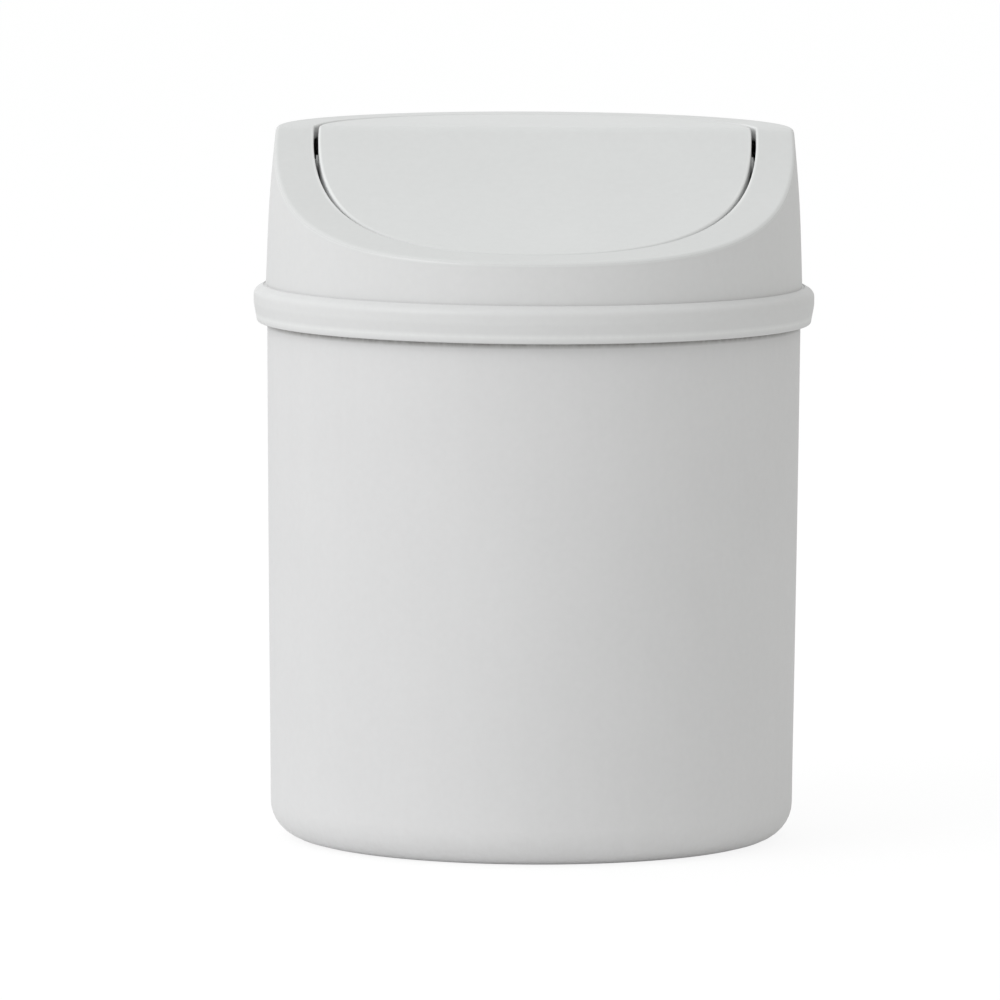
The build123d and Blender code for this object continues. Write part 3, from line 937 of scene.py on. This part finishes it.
def makeFloor(shape):
    # For the camera, plain white plus a little paint that keeps the shadow. For all other rays a paint that
    # gets darker evenly to both sides, up to the reach of the fade, and a glow that falls evenly with the
    # distance from the object's axis.
    half = shape["floorSize"] / 2
    points = np.array([[-half, -half, 0], [half, -half, 0], [half, half, 0], [-half, half, 0]])
    mesh = bpy.data.meshes.new("floor")
    mesh.from_pydata((points + np.array([0, 0, shape["floorLift"]])).tolist(), [], [[0, 1, 2, 3]])
    made = bpy.data.objects.new("floor", mesh)
    bpy.context.scene.collection.objects.link(made)
    material = bpy.data.materials.new("floorPaint")
    material.use_nodes = True
    tree = Tree(material.node_tree)
    x, y, _ = tree.parts(tree.add("ShaderNodeTexCoord", output=objectCoords))
    left, right = ((way / shape["fadeReach"]).clamped() for way in (x * -1.0, x))
    lit = shape["floorPaint"] - left * shape["floorFade"][0] - right * shape["floorFade"][1]
    beyond = (x * x + y * y).maths("SQRT") - shape["nearStart"]
    close = (1.0 - beyond / shape["nearReach"]).clamped()
    matte = tree.add("ShaderNodeBsdfDiffuse", {}, {"Color": lit})
    glow = tree.add("ShaderNodeEmission", {}, {"Color": close * shape["nearGlow"]})
    paint = tree.add("ShaderNodeAddShader", {}, {0: matte, 1: glow})
    shade = shape["floorShade"]
    shadow = tree.add("ShaderNodeBsdfDiffuse", {}, {"Color": (shade, shade, shade, 1)})
    white = tree.add("ShaderNodeEmission", {}, {"Strength": shape["floorWhite"]})
    shown = tree.add("ShaderNodeAddShader", {}, {0: shadow, 1: white})
    both = tree.add("ShaderNodeMixShader", {}, {0: tree.add("ShaderNodeLightPath"), 1: paint, 2: shown})
    tree.add("ShaderNodeOutputMaterial", {}, {"Surface": both})
    made.data.materials.append(material)


def makeSky(shape):
    # White for the camera. Its light is the level plus the dot product of its direction with a fixed vector,
    # less a share of x times y where both are positive.
    world = bpy.data.worlds.new("sky")
    bpy.context.scene.world = world
    world.use_nodes = True
    tree = Tree(world.node_tree)
    direction = tree.add("ShaderNodeTexCoord")
    towards = tree.add("ShaderNodeVectorMath", {"operation": "DOT_PRODUCT"},
                       {0: direction, 1: shape["skyTowards"]}, output=1)
    right, behind, above = (part.clamped() for part in tree.parts(direction))
    seen = tree.add("ShaderNodeLightPath")
    light = shape["skyLevel"] + towards - right * behind * shape["skyCorner"]
    tint = (1, 1, 1, 1)
    for share, colour in ((right, shape["skyRight"]), (above, shape["skyAbove"])):
        tint = tree.mixed(share * (1.0 - seen), tint, (*colour, 1))
    strength = light + seen * (1.0 - light)
    background = tree.add("ShaderNodeBackground", {}, {"Color": tint, "Strength": strength})
    tree.add("ShaderNodeOutputWorld", {}, {"Surface": background})


def directionOf(azimuth, elevation):
    # Unit vector in degrees: azimuth turns from the front towards the right, elevation rises from the table.
    around, above = math.radians(azimuth), math.radians(elevation)
    level = math.cos(above)
    return Vector((math.sin(around) * level, -math.cos(around) * level, math.sin(above)))


def makeLamp(lamp):
    # A square lamp at its distance from the middle of the object, turned to face it.
    aim = Vector((0, 0, top / 2))
    away = directionOf(lamp["azimuth"], lamp["elevation"])
    light = bpy.data.lights.new("softLamp", "AREA")
    light.size, light.energy = lamp["size"], lamp["power"]
    made = bpy.data.objects.new("softLamp", light)
    made.location = aim + away * lamp["distance"]
    made.rotation_mode = "QUATERNION"
    made.rotation_quaternion = away.to_track_quat("Z", "Y")
    bpy.context.scene.collection.objects.link(made)


cameraView = {
    "distance": 2.362,
    "elevation": 5.59,
    "roll": 0.31,                # degrees, the photograph's slight tilt
    "aim": (0, 0, 82.5 * mm),
    "lens": 366.0,
    "sensor": 36.0,
    "shift": (-0.033, -0.0183),
    "clip": (0.1, 50.0),
}


def makeCamera(shape):
    # At its distance in front of the aim, turned to face it, and then rolled about its own axis.
    away = directionOf(0, shape["elevation"])
    data = bpy.data.cameras.new("camera")
    data.lens, data.sensor_width = shape["lens"], shape["sensor"]
    data.shift_x, data.shift_y = shape["shift"]
    data.clip_start, data.clip_end = shape["clip"]
    made = bpy.data.objects.new("camera", data)
    made.location = Vector(shape["aim"]) + away * shape["distance"]
    made.rotation_mode = "QUATERNION"
    roll = Quaternion((0, 0, 1), math.radians(shape["roll"]))
    made.rotation_quaternion = away.to_track_quat("Z", "Y") @ roll
    bpy.context.scene.collection.objects.link(made)
    bpy.context.scene.camera = made


# Everything together.

def dress(pieces, body, material):
    # Gives pieces their plastic, and has them ride on a body.
    for piece in pieces:
        piece.data.materials.append(material)
        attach(piece, body)


paints = {name: plastic(name, finish) for name, finish in finishes.items()}
print("plastic ready")
dress([makeBin(binShape)], "bin", paints["binPlastic"])
dress([makeLid(lidShape), *makeLugs(lugShape), *makeCatch(catchShape)], "lid", paints["lidPlastic"])
dress([makeFlap(flapShape), *makeEars(earShape), *makePins(pinShape), *makeRibs(ribShape)], "flap",
      paints["flapPlastic"])
print("pieces ready")
makeFloor(studio)
makeSky(studio)
makeLamp(studio["lamp"])
makeCamera(cameraView)
bpy.context.scene.view_settings.view_transform = "Standard"
print("studio ready")
